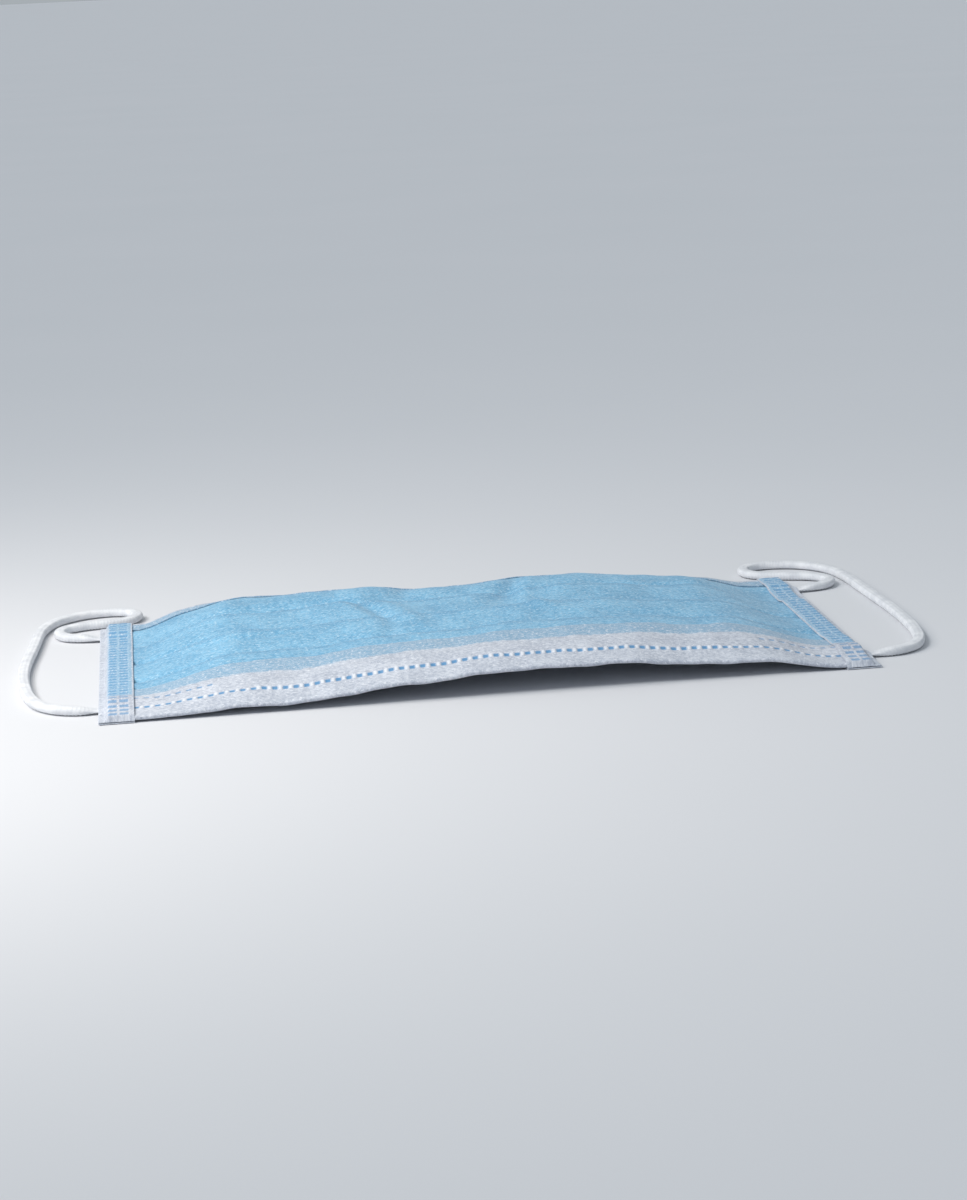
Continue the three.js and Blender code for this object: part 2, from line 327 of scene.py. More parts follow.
# How the whole mask rises off the floor between its bindings
CHIN_PUFF = 1.6
CHIN_FALL = 0.5
FALL_REACH = 10.0
PUFF_REACH = 24.0
PUFF_LIFT = 0.75
ARCH = 4.0
CAMBER = 1.4

# Nose wire
WIRE_LENGTH = 100.0
WIRE_WIDTH = 4.0
WIRE_WALL = 0.45
WIRE_INSET = 9.5
WIRE_CUTS = 60
WIRE_ROOM = 0.34

# Rows of welds, by their distance in from the edge of the cloth
WELD_PITCH = 2.36
WELD_ROW = 6.3
SECOND_ROW = 11.8
SECOND_START = 61.0
CHIN_ROW = 4.3
CHIN_DENTS = (5.4, 3.2)
SIDE_PITCH = WIDTH / 36
SIDE_COLUMNS = (81.7, 84.25)
SIDE_DENTS = (85.6, 80.4)
DENT_DEPTH = 0.1
SWELLING = 0.13
SIDE_DENT_DEPTH = 0.09
SIDE_SWELLING = 0.05

# Tails of the ear loops, under the corners of the bindings
TAIL_Y = 36.5
TAIL_REACH = 3.2
TAIL_LIFT = 0.62
TAIL_ENDS = (72.0, 79.0)

# The arch of the nose edge and the chin edge, in shares of ARCH at shares of the mask's length
ARCH_ALONG = (0.0, 0.07, 0.15, 0.26, 0.37, 0.5, 0.64, 0.8, 0.91, 1.0)
ARCH_NOSE = (0.0, 0.0, 0.0, 0.14, 0.62, 0.94, 0.98, 0.62, 0.4, 0.0)
ARCH_CHIN = (0.0, 0.72, 1.06, 1.2, 1.2, 0.86, 1.22, 0.76, 0.42, 0.0)

# Hollows: the share along and across, the reach each way, and the depth as a share of ARCH
DIMPLES = (
    (0.42, 0.69, 0.07, 0.16, 0.2),
    (0.575, 0.65, 0.07, 0.16, 0.24),
    (0.24, 0.72, 0.08, 0.14, 0.14),
)

# Creases: the points of each line, its width, and its rise, below zero where the cloth is pressed in
CREASES = (
    (
        (
            (-50.0, 19.0), (-36.0, 23.0), (-29.0, 22.0), (-24.5, 17.0),
            (-20.5, 7.0), (-19.0, -7.0), (-21.0, -16.0),
        ),
        2.1, -0.93,
    ),
    (((-20.0, 20.0), (-16.0, 12.0), (-14.0, 2.0), (-12.0, -8.0)), 2.4, 0.62),
    (((-13.0, 38.0), (-12.5, 31.0), (-14.0, 25.0)), 2.6, -0.78),
    (((-32.0, -12.0), (-24.0, -15.0), (-16.0, -14.0), (-4.0, -17.0)), 3.0, -0.62),
    (((15.5, 36.0), (14.0, 28.0), (11.5, 20.0), (9.0, 14.0)), 2.2, -1.08),
    (((20.0, 36.0), (17.5, 26.0), (15.0, 12.0), (17.0, 0.0), (24.0, -8.0)), 2.4, 0.78),
    (((-66.0, -4.0), (-54.0, -5.0), (-42.0, -3.0), (-32.0, 1.0)), 1.5, -0.46),
    (((-64.0, 22.0), (-52.0, 26.0), (-40.0, 28.0)), 2.0, 0.46),
    (((30.0, -9.0), (44.0, -11.0), (58.0, -16.0)), 2.4, -0.5),
    (((36.0, 26.0), (48.0, 24.0), (63.0, 27.0)), 2.0, 0.46),
)


# Curves and heights


def clamp(value):
    return np.clip(value, 0.0, 1.0)


def ramp(value, start, end):
    t = clamp((value - start) / (end - start))
    return t * t * (3 - 2 * t)


def mix(first, second, share):
    return first + (second - first) * share


def read_curve(values, along):
    """A smooth curve through a table's column, with flat ends."""
    places, values = np.array(ARCH_ALONG), np.array(values)
    slopes = np.zeros(len(values))
    slopes[1:-1] = (values[2:] - values[:-2]) / (places[2:] - places[:-2])
    i = np.clip(np.searchsorted(places, along, side="right") - 1, 0, len(places) - 2)
    span = places[i + 1] - places[i]
    t = clamp((along - places[i]) / span)
    return (
        (2 * t**3 - 3 * t**2 + 1) * values[i]
        + (t**3 - 2 * t**2 + t) * span * slopes[i]
        + (3 * t**2 - 2 * t**3) * values[i + 1]
        + (t**3 - t**2) * span * slopes[i + 1]
    )


def puff_at(x):
    """How free the plies are of the bindings, from 0 at them to 1 well between them."""
    return ramp(CLOTH_END - np.abs(x), 0.0, PUFF_REACH)


def crease_lift(x, y):
    """Small pressed lines and ridges, each a soft line through a few points."""
    lift = np.zeros(np.broadcast(x, y).shape)
    for points, width, rise in CREASES:
        best = np.full(lift.shape, 1e9)
        share = np.zeros(lift.shape)
        line = smooth_line(np.array(points), 24)
        steps = np.linspace(0, 1, len(line))
        for (px, py), s in zip(line, steps):
            away = (x - px) ** 2 + (y - py) ** 2
            closer = away < best
            best = np.where(closer, away, best)
            share = np.where(closer, s, share)
        fade = np.sin(math.pi * clamp(share * 0.94 + 0.03)) ** 0.6
        lift += rise * np.exp(-best / width**2) * fade
    return lift


def ripples(x, y):
    """Slow, uneven waves that handled cloth keeps."""
    return (
        0.16 * np.sin(x * 0.21 + 0.6 * np.sin(y * 0.11) + 0.7)
        + 0.12 * np.sin(x * 0.37 - y * 0.16 + 2.1)
        + 0.09 * np.sin(x * 0.09 + y * 0.29 + 0.4)
        + 0.05 * np.sin(x * 0.83 + y * 0.31 + 1.1)
    )


def base_at(x, y):
    """How far all plies together stand off the floor."""
    along = clamp((x + CLOTH_END) / (2 * CLOTH_END))
    across = clamp((y - NOSE_EDGE) / WIDTH)
    puff = puff_at(x)
    lift = ARCH * mix(read_curve(ARCH_NOSE, along), read_curve(ARCH_CHIN, along), across)
    lift = lift + (CAMBER * np.sin(math.pi * across) + PUFF_LIFT) * puff
    lift = lift - CHIN_FALL * ramp(y, CHIN_EDGE - FALL_REACH, CHIN_EDGE + 1.0)
    for d_along, d_across, r_along, r_across, depth in DIMPLES:
        u = ((x + HALF) / LENGTH - d_along) / r_along
        v = (across - d_across) / r_across
        lift = lift - ARCH * depth * clamp(1 - u * u - v * v) ** 2 * puff
    lift = lift + (crease_lift(x, y) + ripples(x, y)) * puff
    tail = np.exp(-(((np.abs(y) - TAIL_Y) / TAIL_REACH) ** 2)) * ramp(np.abs(x), *TAIL_ENDS)
    return np.maximum(0.0, lift) + TAIL_LIFT * tail


def press_at(x):
    """How much of the pleats' full lift is left: little at the bindings, more between them."""
    return mix(END_PRESS, MIDDLE_PRESS, puff_at(x))


def panel_level(panel, x, y):
    """Height of one panel of the cover over the flat ply."""
    puff = puff_at(x)
    first, last = panel == 0, panel == len(FOLDS)
    start = COVER_NOSE if first else INNER[panel - 1]
    flat = 0.0 * x * y
    opened = PUFF_SLOPE * (y - start) + 0.0 * x
    if first:
        eased = clamp((y - COVER_NOSE) / (FOLDS[0] - COVER_NOSE))
        opened = PUFF_RISE * eased * (2 - eased) + 0.0 * x
    if not last:
        ramp_start = COVER_NOSE if first else FOLDS[panel - 1] + TIP
        flat = FOLD_LIFT * ramp(y, ramp_start, INNER[panel] - TIP) + 0.0 * x
    else:
        beyond = clamp((y - FOLDS[-1]) / (COVER_CHIN - FOLDS[-1]))
        opened = opened * (1 - ramp(beyond, 0.1, 1.0)) + CHIN_PUFF * np.sin(math.pi * beyond) ** 2
    return mix(flat, opened, puff) * press_at(x)


def run(start, end, step):
    """Even places from start to end, no further apart than the step."""
    count = max(2, int(math.ceil(abs(end - start) / step)))
    return np.linspace(start, end, count + 1)


def joined(runs):
    """Runs of places one after the other, with each shared place once."""
    return np.concatenate([part[:-1] for part in runs] + [runs[-1][-1:]])


def half_turn(low, high, steps=8):
    """Sines and cosines of the half circle between two runs, without its ends."""
    angles = np.pi * np.arange(1, steps) / steps
    middle, radius = (low + high) / 2, (low - high) / 2
    return np.abs(radius) * np.sin(angles), middle + radius * np.cos(angles)


def cover_rows(x):
    """The cover's path at each place along the mask, as y, height and travelled length."""
    column = x[:, None]
    ys, levels = [], []
    for panel in range(len(FOLDS) + 1):
        start = COVER_NOSE if panel == 0 else INNER[panel - 1]
        end = COVER_CHIN if panel == len(FOLDS) else FOLDS[panel]
        y = run(start, end, 1.05)[None, :]
        ys.append(y + 0.0 * column)
        levels.append(panel_level(panel, column, y))
        if panel == len(FOLDS):
            break
        middle = lambda at: (panel_level(panel, column, at) + panel_level(panel + 1, column, at)) / 2
        outer = np.array([[FOLDS[panel]]])
        shift, height = half_turn(panel_level(panel, column, outer), middle(outer))
        ys.append(outer + shift)
        levels.append(height)
        y = run(FOLDS[panel], INNER[panel], 1.3)[None, :]
        ys.append(y + 0.0 * column)
        levels.append(middle(y))
        inner = np.array([[INNER[panel]]])
        shift, height = half_turn(middle(inner), panel_level(panel + 1, column, inner))
        ys.append(inner - shift)
        levels.append(height)
    y, level = np.concatenate(ys, 1), np.concatenate(levels, 1)
    return y, COVER_HEIGHT + level + base_at(column, y)


def weld_marks(x, across, rows, pitch):
    """Depth of a line of short weld dents, and the little swellings between them."""
    phase = np.abs((x / pitch) % 1.0 - 0.5) * pitch
    lift = 0.0 * x * across
    for row, reach in rows:
        inside = np.exp(-(((across - row) / 0.55) ** 4))
        near = np.exp(-(((across - row) / 0.9) ** 2))
        dent = 1 - ramp(phase, 0.45, 0.95)
        lift = lift + reach * (SWELLING * near * (1 - dent) - DENT_DEPTH * inside * dent)
    return lift


def wire_room(x, y):
    lengthwise = 1 - ramp(np.abs(x), WIRE_LENGTH / 2 + 0.6, WIRE_LENGTH / 2 + 4.0)
    sideways = np.abs(y - (NOSE_EDGE + WIRE_INSET)) - WIRE_WIDTH / 2
    return WIRE_ROOM * lengthwise * (1 - ramp(sideways, 0.2, 1.6))


def lining_level(x, y):
    """The lining under the cover steps down a little where each pleat begins."""
    level = 0.0 * x * y
    for i, fold in enumerate(INNER):
        start = NOSE_EDGE + WHITE_BAND / 2 if i == 0 else INNER[i - 1]
        rise = (y - start) / (fold - start)
        inside = (y >= start) & (y <= fold)
        level = np.where(inside, LINING_RISE * rise * (1 - ramp(y, fold - 4.2, fold - TIP)), level)
    return level * puff_at(x)


def hem_height(inset, cut):
    """A hem stands a little off the cover and is pressed onto it along its cut edge."""
    return mix(HEM_PLY, TOUCHING, ramp(inset, cut - HEM_PRESSED, cut))


def lining_rows(x):
    """The lining's path: nose hem, round the nose edge, under the mask, round the chin edge, chin hem."""
    column = x[:, None]
    ends = ramp(np.abs(column), SECOND_START, SECOND_START + 1.0)
    step, second_reach, row_reach = 0.8, 0.8, 1.2
    hem = [
        run(NOSE_WRAP, SECOND_ROW + second_reach, step),
        run(SECOND_ROW + second_reach, SECOND_ROW - second_reach, 0.27),
        run(SECOND_ROW - second_reach, WELD_ROW + row_reach, step),
        run(WELD_ROW + row_reach, WELD_ROW - row_reach, 0.2),
        run(WELD_ROW - row_reach, COVER_INSET, step),
    ]
    inset = joined(hem)[None, :]
    y_nose = NOSE_EDGE + inset
    rows = ((WELD_ROW, 1.0), (SECOND_ROW, ends))
    wrap = panel_level(0, column, y_nose) + hem_height(inset, NOSE_WRAP) + wire_room(column, y_nose)
    wrap = wrap + weld_marks(column, inset, rows, WELD_PITCH)
    under_y = run(COVER_NOSE, COVER_CHIN, 3.0)[None, :]
    under = lining_level(column, under_y) - PLY
    chin = [run(CHIN_WRAP, CHIN_DENTS[0], step), run(*CHIN_DENTS, 0.22), run(CHIN_DENTS[1], COVER_INSET, 0.7)]
    chin_inset = joined(chin)[None, ::-1]
    y_chin = CHIN_EDGE - chin_inset
    chin_level = panel_level(len(FOLDS), column, y_chin) + hem_height(chin_inset, CHIN_WRAP)
    chin_level = chin_level + weld_marks(column, chin_inset, ((CHIN_ROW, 1.0),), WELD_PITCH)
    nose_turn, nose_height = half_turn(wrap[:, -1:], under[:, :1])
    chin_turn, chin_height = half_turn(under[:, -1:], chin_level[:, :1])
    spread = lambda y: y + 0.0 * column
    y = np.concatenate(
        [spread(y_nose), COVER_NOSE - nose_turn, spread(under_y), COVER_CHIN + chin_turn, spread(y_chin)], 1
    )
    level = np.concatenate([wrap, nose_height, under, chin_height, chin_level], 1)
    return y, COVER_HEIGHT + level + base_at(column, y)


def top_ply(x, y):
    """Height of the uppermost ply over the flat ply."""
    at = np.clip(y, COVER_NOSE, COVER_CHIN)
    level = panel_level(len(FOLDS), x, at)
    for panel in reversed(range(len(FOLDS))):
        level = np.where(at < FOLDS[panel] + 0.3, panel_level(panel, x, at), level)
    hem = np.where(at < NOSE_EDGE + NOSE_WRAP, hem_height(at - NOSE_EDGE, NOSE_WRAP), 0.0)
    return level + np.where(at > CHIN_EDGE - CHIN_WRAP, hem_height(CHIN_EDGE - at, CHIN_WRAP), hem)


def stack_top(x, y):
    """The height that a sheet lying on all the plies takes, with the folds' steps softened."""
    steps = np.arange(-4.2, 4.21, 0.3)
    reach = 15
    levels = np.stack([top_ply(x, y + step) for step in steps])
    over = [levels[k : k + reach].max(0) for k in range(len(steps) - reach + 1)]
    return COVER_HEIGHT + sum(over) / len(over)


def binding_rows(y, side):
    """The binding's path across its own width: under the mask, round the end, over the mask."""
    column = y[:, None]
    inner, turn_start, lowest = BINDING_INNER, HALF - 0.34, 0.15
    lower = run(inner, turn_start, 1.0)[None, :]
    fine = [run(turn_start, SIDE_DENTS[0], 0.3), run(*SIDE_DENTS, 0.24), run(SIDE_DENTS[1], inner, 0.3)]
    upper = joined(fine)[None, :]
    low = lowest + base_at(side * lower, column) + 0.0 * lower
    under = lowest + base_at(side * upper, column) + TOUCHING
    high = stack_top(side * upper, column) + base_at(side * upper, column)
    high = high + mix(TOUCHING + 0.1, TOUCHING, 1 - ramp(upper, inner, inner + 0.9))
    high = mix(high, under + 0.05, ramp(upper, PLY_END - 0.2, PLY_END + 1.2))
    closed = low.mean(1, keepdims=True) + 0.36
    high = mix(high, closed, ramp(np.abs(column), CHIN_EDGE - 0.8, CHIN_EDGE) ** 2)
    phase = np.abs((column / SIDE_PITCH) % 1.0 - 0.5) * SIDE_PITCH
    dash = 1 - ramp(phase, 0.5, 0.95)
    for centre in SIDE_COLUMNS:
        inside = 1 - ramp(np.abs(upper - centre), 0.8, 1.15)
        high = high + inside * mix(SIDE_SWELLING, -SIDE_DENT_DEPTH, dash)
    turn, height = half_turn(low[:, -1:], high[:, :1])
    x = np.concatenate([lower + 0.0 * column, turn_start + turn, upper + 0.0 * column], 1)
    return x, np.concatenate([low, height, high], 1)


# Meshes


def smooth_line(points, steps):
    """A Catmull-Rom line through the points, with a number of steps between each two."""
    padded = np.vstack([2 * points[0] - points[1], points, 2 * points[-1] - points[-2]])
    line = []
    for a, b, c, d in zip(padded, padded[1:], padded[2:], padded[3:]):
        t = np.linspace(0, 1, steps, endpoint=False)[:, None]
        bent = (2 * a - 5 * b + 4 * c - d) * t**2 + (3 * b - a - 3 * c + d) * t**3
        line.append(0.5 * (2 * b + (c - a) * t + bent))
    return np.vstack(line + [points[-1:]])


def make_object(name, corners, quads, places=None):
    """A mesh object from numbers: corners and cloth places in millimetres, four corners a face."""
    mesh = bpy.data.meshes.new(name)
    mesh.vertices.add(len(corners))
    mesh.vertices.foreach_set("co", (corners * MM).astype(np.float32).ravel())
    mesh.loops.add(quads.size)
    mesh.loops.foreach_set("vertex_index", quads.astype(np.int32).ravel())
    mesh.polygons.add(len(quads))
    mesh.polygons.foreach_set("loop_start", np.arange(0, quads.size, 4, dtype=np.int32))
    mesh.update(calc_edges=True)
    if places is not None:
        layer = mesh.uv_layers.new(name="cloth")
        layer.data.foreach_set("uv", places[quads.ravel()].astype(np.float32).ravel())
    mesh.validate()
    made = bpy.data.objects.new(name, mesh)
    bpy.context.scene.collection.objects.link(made)
    bpy.context.view_layer.objects.active = made
    made.select_set(True)
    bpy.ops.object.shade_smooth_by_angle(angle=math.radians(55))
    made.select_set(False)
    return made


def step_lengths(across, height):
    """How long each step of a cloth's path is, at every station."""
    return np.hypot(np.diff(across, axis=1), np.diff(height, axis=1))


def make_cloth(name, stations, across, height, wall, inside_out=False, swap=False):
    """A closed strip of cloth with a wall. Each station has one row of the path."""
    count, steps = across.shape
    d_across = np.gradient(across, axis=1)
    d_height = np.gradient(height, axis=1)
    size = np.maximum(np.hypot(d_across, d_height), 1e-9)
    travelled = np.concatenate([np.zeros((count, 1)), np.cumsum(step_lengths(across, height), 1)], 1)
    travelled = np.tile(travelled.mean(0), (count, 1))
    sides = []
    for sign in (0.5, -0.5):
        a = across - sign * wall * d_height / size
        h = height + sign * wall * d_across / size
        s = np.tile(stations[:, None], (1, steps))
        sides.append(np.stack([a, s, h] if swap else [s, a, h], -1).reshape(-1, 3))
    corners = np.vstack(sides)
    index = np.arange(count * steps).reshape(count, steps)
    other = index + count * steps
    top = np.stack([index[:-1, :-1], index[1:, :-1], index[1:, 1:], index[:-1, 1:]], -1).reshape(-1, 4)
    under = np.stack([other[:-1, :-1], other[:-1, 1:], other[1:, 1:], other[1:, :-1]], -1).reshape(-1, 4)
    rims = [
        np.stack([index[:-1, 0], other[:-1, 0], other[1:, 0], index[1:, 0]], -1),
        np.stack([index[:-1, -1], index[1:, -1], other[1:, -1], other[:-1, -1]], -1),
        np.stack([index[0, :-1], index[0, 1:], other[0, 1:], other[0, :-1]], -1),
        np.stack([index[-1, :-1], other[-1, :-1], other[-1, 1:], index[-1, 1:]], -1),
    ]
    quads = np.vstack([top, under, *rims])
    if inside_out:
        quads = quads[:, ::-1]
    flat = np.stack([np.tile(stations[:, None], (1, steps)), travelled], -1).reshape(-1, 2)
    return make_object(name, corners, quads, np.vstack([flat, flat]))


def weld_stations(start, end, pitch):
    """Places along a line of weld dents, close where a dent or the line ends and wide between."""
    offsets = np.array([-0.95, -0.7, -0.45, 0.45, 0.7, 0.95])
    centres = (np.arange(math.floor(start / pitch) - 1, math.ceil(end / pitch) + 2) + 0.5) * pitch
    places = (centres[:, None] + offsets).ravel()
    places = places[(places > start + 0.8) & (places < end - 0.8)]
    last = np.array([0.0, 0.12, 0.25, 0.4, 0.58])
    return np.concatenate([start + last, places, end - last[::-1]])


def dress(piece, material, slot, *nodes):
    """Gives a piece its material, its body and the nodes that it stands for; the slot is not used."""
    piece.data.materials.append(material)
    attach(piece, "root")
    if nodes:
        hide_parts(*nodes)


# Ear loops

LOOP_HEIGHT = 1.08
BEND_DEGREES = 38


def on_floor(*places):
    """Places along a loop's middle line where it lies on the floor."""
    return tuple((x, y, LOOP_HEIGHT) for x, y in places)


def bend(centre, radius, start, end):
    """Points round a bend on the floor, from one direction in degrees to another."""
    count = round(abs(end - start) / BEND_DEGREES)
    turns = np.radians(np.linspace(start, end, count + 1))
    return on_floor(*((centre[0] + radius * math.cos(t), centre[1] + radius * math.sin(t)) for t in turns))


RIGHT_ROUTE = (
    (80.5, -36.5, 0.32), (84.0, -36.5, 0.34), (87.8, -36.5, 0.62), (92.0, -36.9, 1.0),
    *on_floor(
        (96.2, -35.4), (99.8, -31.6), (102.0, -25.5), (103.3, -17.0), (103.9, -7.5), (104.0, 2.5),
        (103.8, 12.5), (103.4, 23.0), (103.0, 33.5), (102.6, 43.5), (101.4, 53.0), (98.6, 59.6),
        (94.6, 63.8), (90.0, 66.0),
    ),
    *bend((85.2, 60.0), 6.5, 90, 248), *on_floor((87.96, 51.84)), *bend((90.6, 43.4), 6.8, 68, -84),
    (87.4, 36.5, 0.62), (84.0, 36.5, 0.34), (80.5, 36.5, 0.32),
)
LEFT_ROUTE = (
    (-80.5, -36.5, 0.32), (-84.0, -36.5, 0.34), (-87.8, -36.5, 0.62), (-92.2, -36.8, 1.0),
    *on_floor(
        (-96.6, -34.8), (-100.2, -30.4), (-102.6, -23.5), (-104.0, -14.5), (-104.8, -4.5), (-104.9, 5.5),
        (-104.4, 15.5), (-103.6, 25.5), (-102.9, 35.5), (-102.2, 45.0), (-100.2, 53.4), (-97.4, 58.6),
        (-93.6, 62.3), (-89.2, 64.2),
    ),
    *bend((-84.5, 58.3), 6.4, 90, -79), *on_floor((-87.59, 51.05)), *bend((-90.6, 43.4), 6.8, 101, 264),
    (-87.4, 36.5, 0.62), (-84.0, 36.5, 0.34), (-80.5, 36.5, 0.32),
)
LOOP_WIDTH = 3.0
LOOP_THICK = 2.0
TAIL_THICK = 0.56
TAIL_LENGTHS = (6.2, 12.5)
LOOP_SIDES = 28
LOOP_STEP = 0.16
SQUARENESS = 2.6
RIB_PITCH = 0.8
RIB_HEIGHT = 0.16
GROOVE_DEPTH = 0.1
LOOP_SKIN = 0.08


def evenly(line, step):
    """The line at even steps, and how far along it each of them is."""
    lengths = np.concatenate([[0], np.cumsum(np.linalg.norm(np.diff(line, axis=0), axis=1))])
    places = np.linspace(0, lengths[-1], int(round(lengths[-1] / step)) + 1)
    return np.stack([np.interp(places, lengths, line[:, k]) for k in range(3)], 1), places


def make_loop(name, route, material, sides=LOOP_SIDES):
    """A knitted elastic: a flattened tube with stitches along it, pressed flat at its two tails."""
    line, places = evenly(smooth_line(np.array(route), 40), LOOP_STEP)
    total = places[-1]
    along = np.gradient(line, axis=0)
    along /= np.linalg.norm(along, axis=1, keepdims=True)
    sideways = np.cross(along, [0, 0, 1.0])
    sideways /= np.linalg.norm(sideways, axis=1, keepdims=True)
    upward = np.cross(sideways, along)
    tail = np.minimum(places, total - places)
    free = ramp(tail, *TAIL_LENGTHS)
    width = mix(LOOP_WIDTH * 1.14, LOOP_WIDTH, free)
    thick = mix(TAIL_THICK, LOOP_THICK, free)
    angle = np.arange(sides) * 2 * math.pi / sides
    cosine, sine = np.cos(angle)[None, :], np.sin(angle)[None, :]
    squared = (np.abs(cosine) ** SQUARENESS + np.abs(sine) ** SQUARENESS) ** (-1 / SQUARENESS)
    across = cosine * squared
    wale = np.cos(across * math.pi * 1.5) ** 2
    chevron = np.abs(((across * 1.5) % 1.0) - 0.5)
    stitch = 0.5 + 0.5 * np.cos(2 * math.pi * (places[:, None] / RIB_PITCH + chevron * 0.9))
    relief = RIB_HEIGHT * stitch * (0.45 + 0.55 * wale) - GROOVE_DEPTH * (1 - wale)
    relief = relief * mix(0.35, 1.0, free)[:, None]
    a = across * (width[:, None] / 2 - LOOP_SKIN + relief * 0.7)
    b = sine * squared * (thick[:, None] / 2 - LOOP_SKIN * free[:, None] + relief)
    corners = line[:, None, :] + a[..., None] * sideways[:, None, :] + b[..., None] * upward[:, None, :]
    count = len(line)
    index = np.arange(count * sides).reshape(count, sides)
    turned = np.roll(index, -1, axis=1)
    quads = np.stack([index[:-1], turned[:-1], turned[1:], index[1:]], -1).reshape(-1, 4)
    flat = np.stack([np.tile(places[:, None], (1, sides)), np.tile(np.arange(sides) * 0.3, (count, 1))], -1)
    corners, flat = corners.reshape(-1, 3), flat.reshape(-1, 2)
    caps = []
    for ring, flip in ((index[0], False), (index[-1], True)):
        for k in range(sides // 2 - 1):
            one = [ring[k], ring[k + 1], ring[sides - 2 - k], ring[sides - 1 - k]]
            caps.append(one[::-1] if flip else one)
    quads = np.vstack([quads, np.array(caps)])
    loop = make_object(name + "_elastic", corners, quads[:, ::-1], flat)
    dress(loop, material, "elastic", name)


def elastic_material():
    shade = Shade("knitted_elastic")
    place = shade.cloth_place()
    fuzz = shade.noise(shade.turned(place, 70, (0.5, 0.12)), 1.0, 2.0)
    soft = shade.noise(place, 0.3, 2.0)
    colour = shade.blend(shade.step(soft, 0.3, 0.7), tint(208, 211, 217), tint(228, 230, 234))
    colour = shade.blend(shade.step(fuzz, 0.5, 0.75) * 0.35, colour, tint(242, 244, 247))
    relief = shade.node("ShaderNodeBump", None, {"Strength": 0.4, "Distance": 0.0001, "Height": fuzz})
    shade.set(Base_Color=colour, Roughness=0.82 - fuzz * 0.1, Normal=relief)
    shade.set(Sheen_Weight=0.25, Sheen_Roughness=0.5)
    return shade.material


elastic = elastic_material()
make_loop("ear_loop_right", RIGHT_ROUTE, elastic)
make_loop("ear_loop_left", LEFT_ROUTE, elastic)


# Cloth pieces

BLUE_DARK = tint(88, 154, 193)
BLUE_LIGHT = tint(130, 188, 221)
BLUE_FLECK = tint(200, 226, 240)
BLUE_BELOW = tint(116, 175, 210)
# Painted shade for the fold edges of the blue cover
FOLD_SHADE_BLUE = tint(74, 138, 180)
SHEER_BLUE = tint(112, 162, 194)
WELD_BLUE = tint(70, 138, 188)
WHITE_DARK = tint(166, 174, 189)
WHITE_LIGHT = tint(203, 209, 220)
# White fibre flecks, and also the colour of the painted highlights between the weld dashes
WHITE_FLECK_AND_HIGHLIGHT = tint(236, 239, 245)
COVER_STATIONS = 172


def hem_places(shade, place):
    """Distances in from the nose edge, along the mask, and to the middle of the nearest weld dash."""
    along, travelled, _ = shade.axes(place)
    phase = shade.magnitude(shade.fraction(along / WELD_PITCH) - 0.5) * WELD_PITCH
    return NOSE_WRAP - travelled, along, phase


def sheer_strips(shade, place, path):
    """The strips of both hems where only thin white cloth lies over the blue."""
    inset, _, _ = hem_places(shade, place)
    ragged = shade.noise(place, 0.8, 3.0) * 1.8 - 0.9
    nose = shade.step(inset + ragged, WHITE_BAND - 0.5, WHITE_BAND + 0.5)
    chin = shade.step(NOSE_WRAP - inset + ragged * 0.4, path - CHIN_WRAP + 1.5, path - CHIN_WRAP + 2.3)
    return ((shade.greater(nose, chin) * 0.86, SHEER_BLUE),)


def painted_fold_shade(shade, place, edges):
    """Painted shade along the folds' edges: a soft dark band that stands in for the shadow in each crease."""
    _, travelled, _ = shade.axes(place)
    found = None
    for edge in edges:
        one = 1 - shade.step(shade.magnitude(travelled - (edge - 0.8)), 0.3, 1.5)
        found = one if found is None else shade.greater(found, one)
    return ((found * 0.42, FOLD_SHADE_BLUE),)


def hem_welds_and_highlights(shade, place):
    """Weld dashes of the nose hem, with painted highlights on the swellings between them."""
    inset, along, phase = hem_places(shade, place)
    dash = 1 - shade.step(phase, 0.4, 0.78)
    off_row = shade.magnitude(inset - WELD_ROW)
    row = 1 - shade.step(off_row, 0.3, 0.62)
    ends = shade.step(shade.magnitude(along), SECOND_START, SECOND_START + 0.4)
    second = (1 - shade.step(shade.magnitude(inset - SECOND_ROW), 0.25, 0.55)) * ends
    # Painted highlight: the middle between two weld dashes is whitened as if its swelling caught the light
    knot_highlight = shade.step(phase, 0.72, 1.0) * (1 - shade.step(off_row, 0.35, 0.85))
    return (
        (shade.greater(row, second * 0.8) * dash * 0.88, WELD_BLUE),
        (knot_highlight * 0.75, WHITE_FLECK_AND_HIGHLIGHT),
    )


def from_middle(shade):
    """The distance in millimetres from the middle of the mask's length."""
    x, _, _ = shade.axes(shade.object_place())
    return shade.magnitude(x) * (1 / MM)


def side_welds(shade, place):
    """Fat weld dashes in two columns."""
    along, _, _ = shade.axes(place)
    x = from_middle(shade)
    phase = shade.magnitude(shade.fraction(along / SIDE_PITCH) - 0.5) * SIDE_PITCH
    dash = 1 - shade.step(phase, 0.55, 0.85)
    columns = None
    for centre in SIDE_COLUMNS:
        one = 1 - shade.step(shade.magnitude(x - centre), 0.85, 1.1)
        columns = one if columns is None else shade.greater(columns, one)
    return ((columns * dash * 0.66, WELD_BLUE),)


def blue_below(shade, place):
    """The blue cloth showing through the binding, short of its white outer margin."""
    along, _, _ = shade.axes(place)
    x = from_middle(shade)
    over_blue = shade.step(along, NOSE_EDGE + WHITE_BAND - 1, NOSE_EDGE + WHITE_BAND + 1)
    short_of_margin = 1 - shade.step(x, PLY_END - 0.5, PLY_END + 0.9)
    inside = shade.step(x, BINDING_INNER + 0.1, BINDING_INNER + 0.6)
    return ((over_blue * (short_of_margin * inside) * 0.85, BLUE_BELOW),)


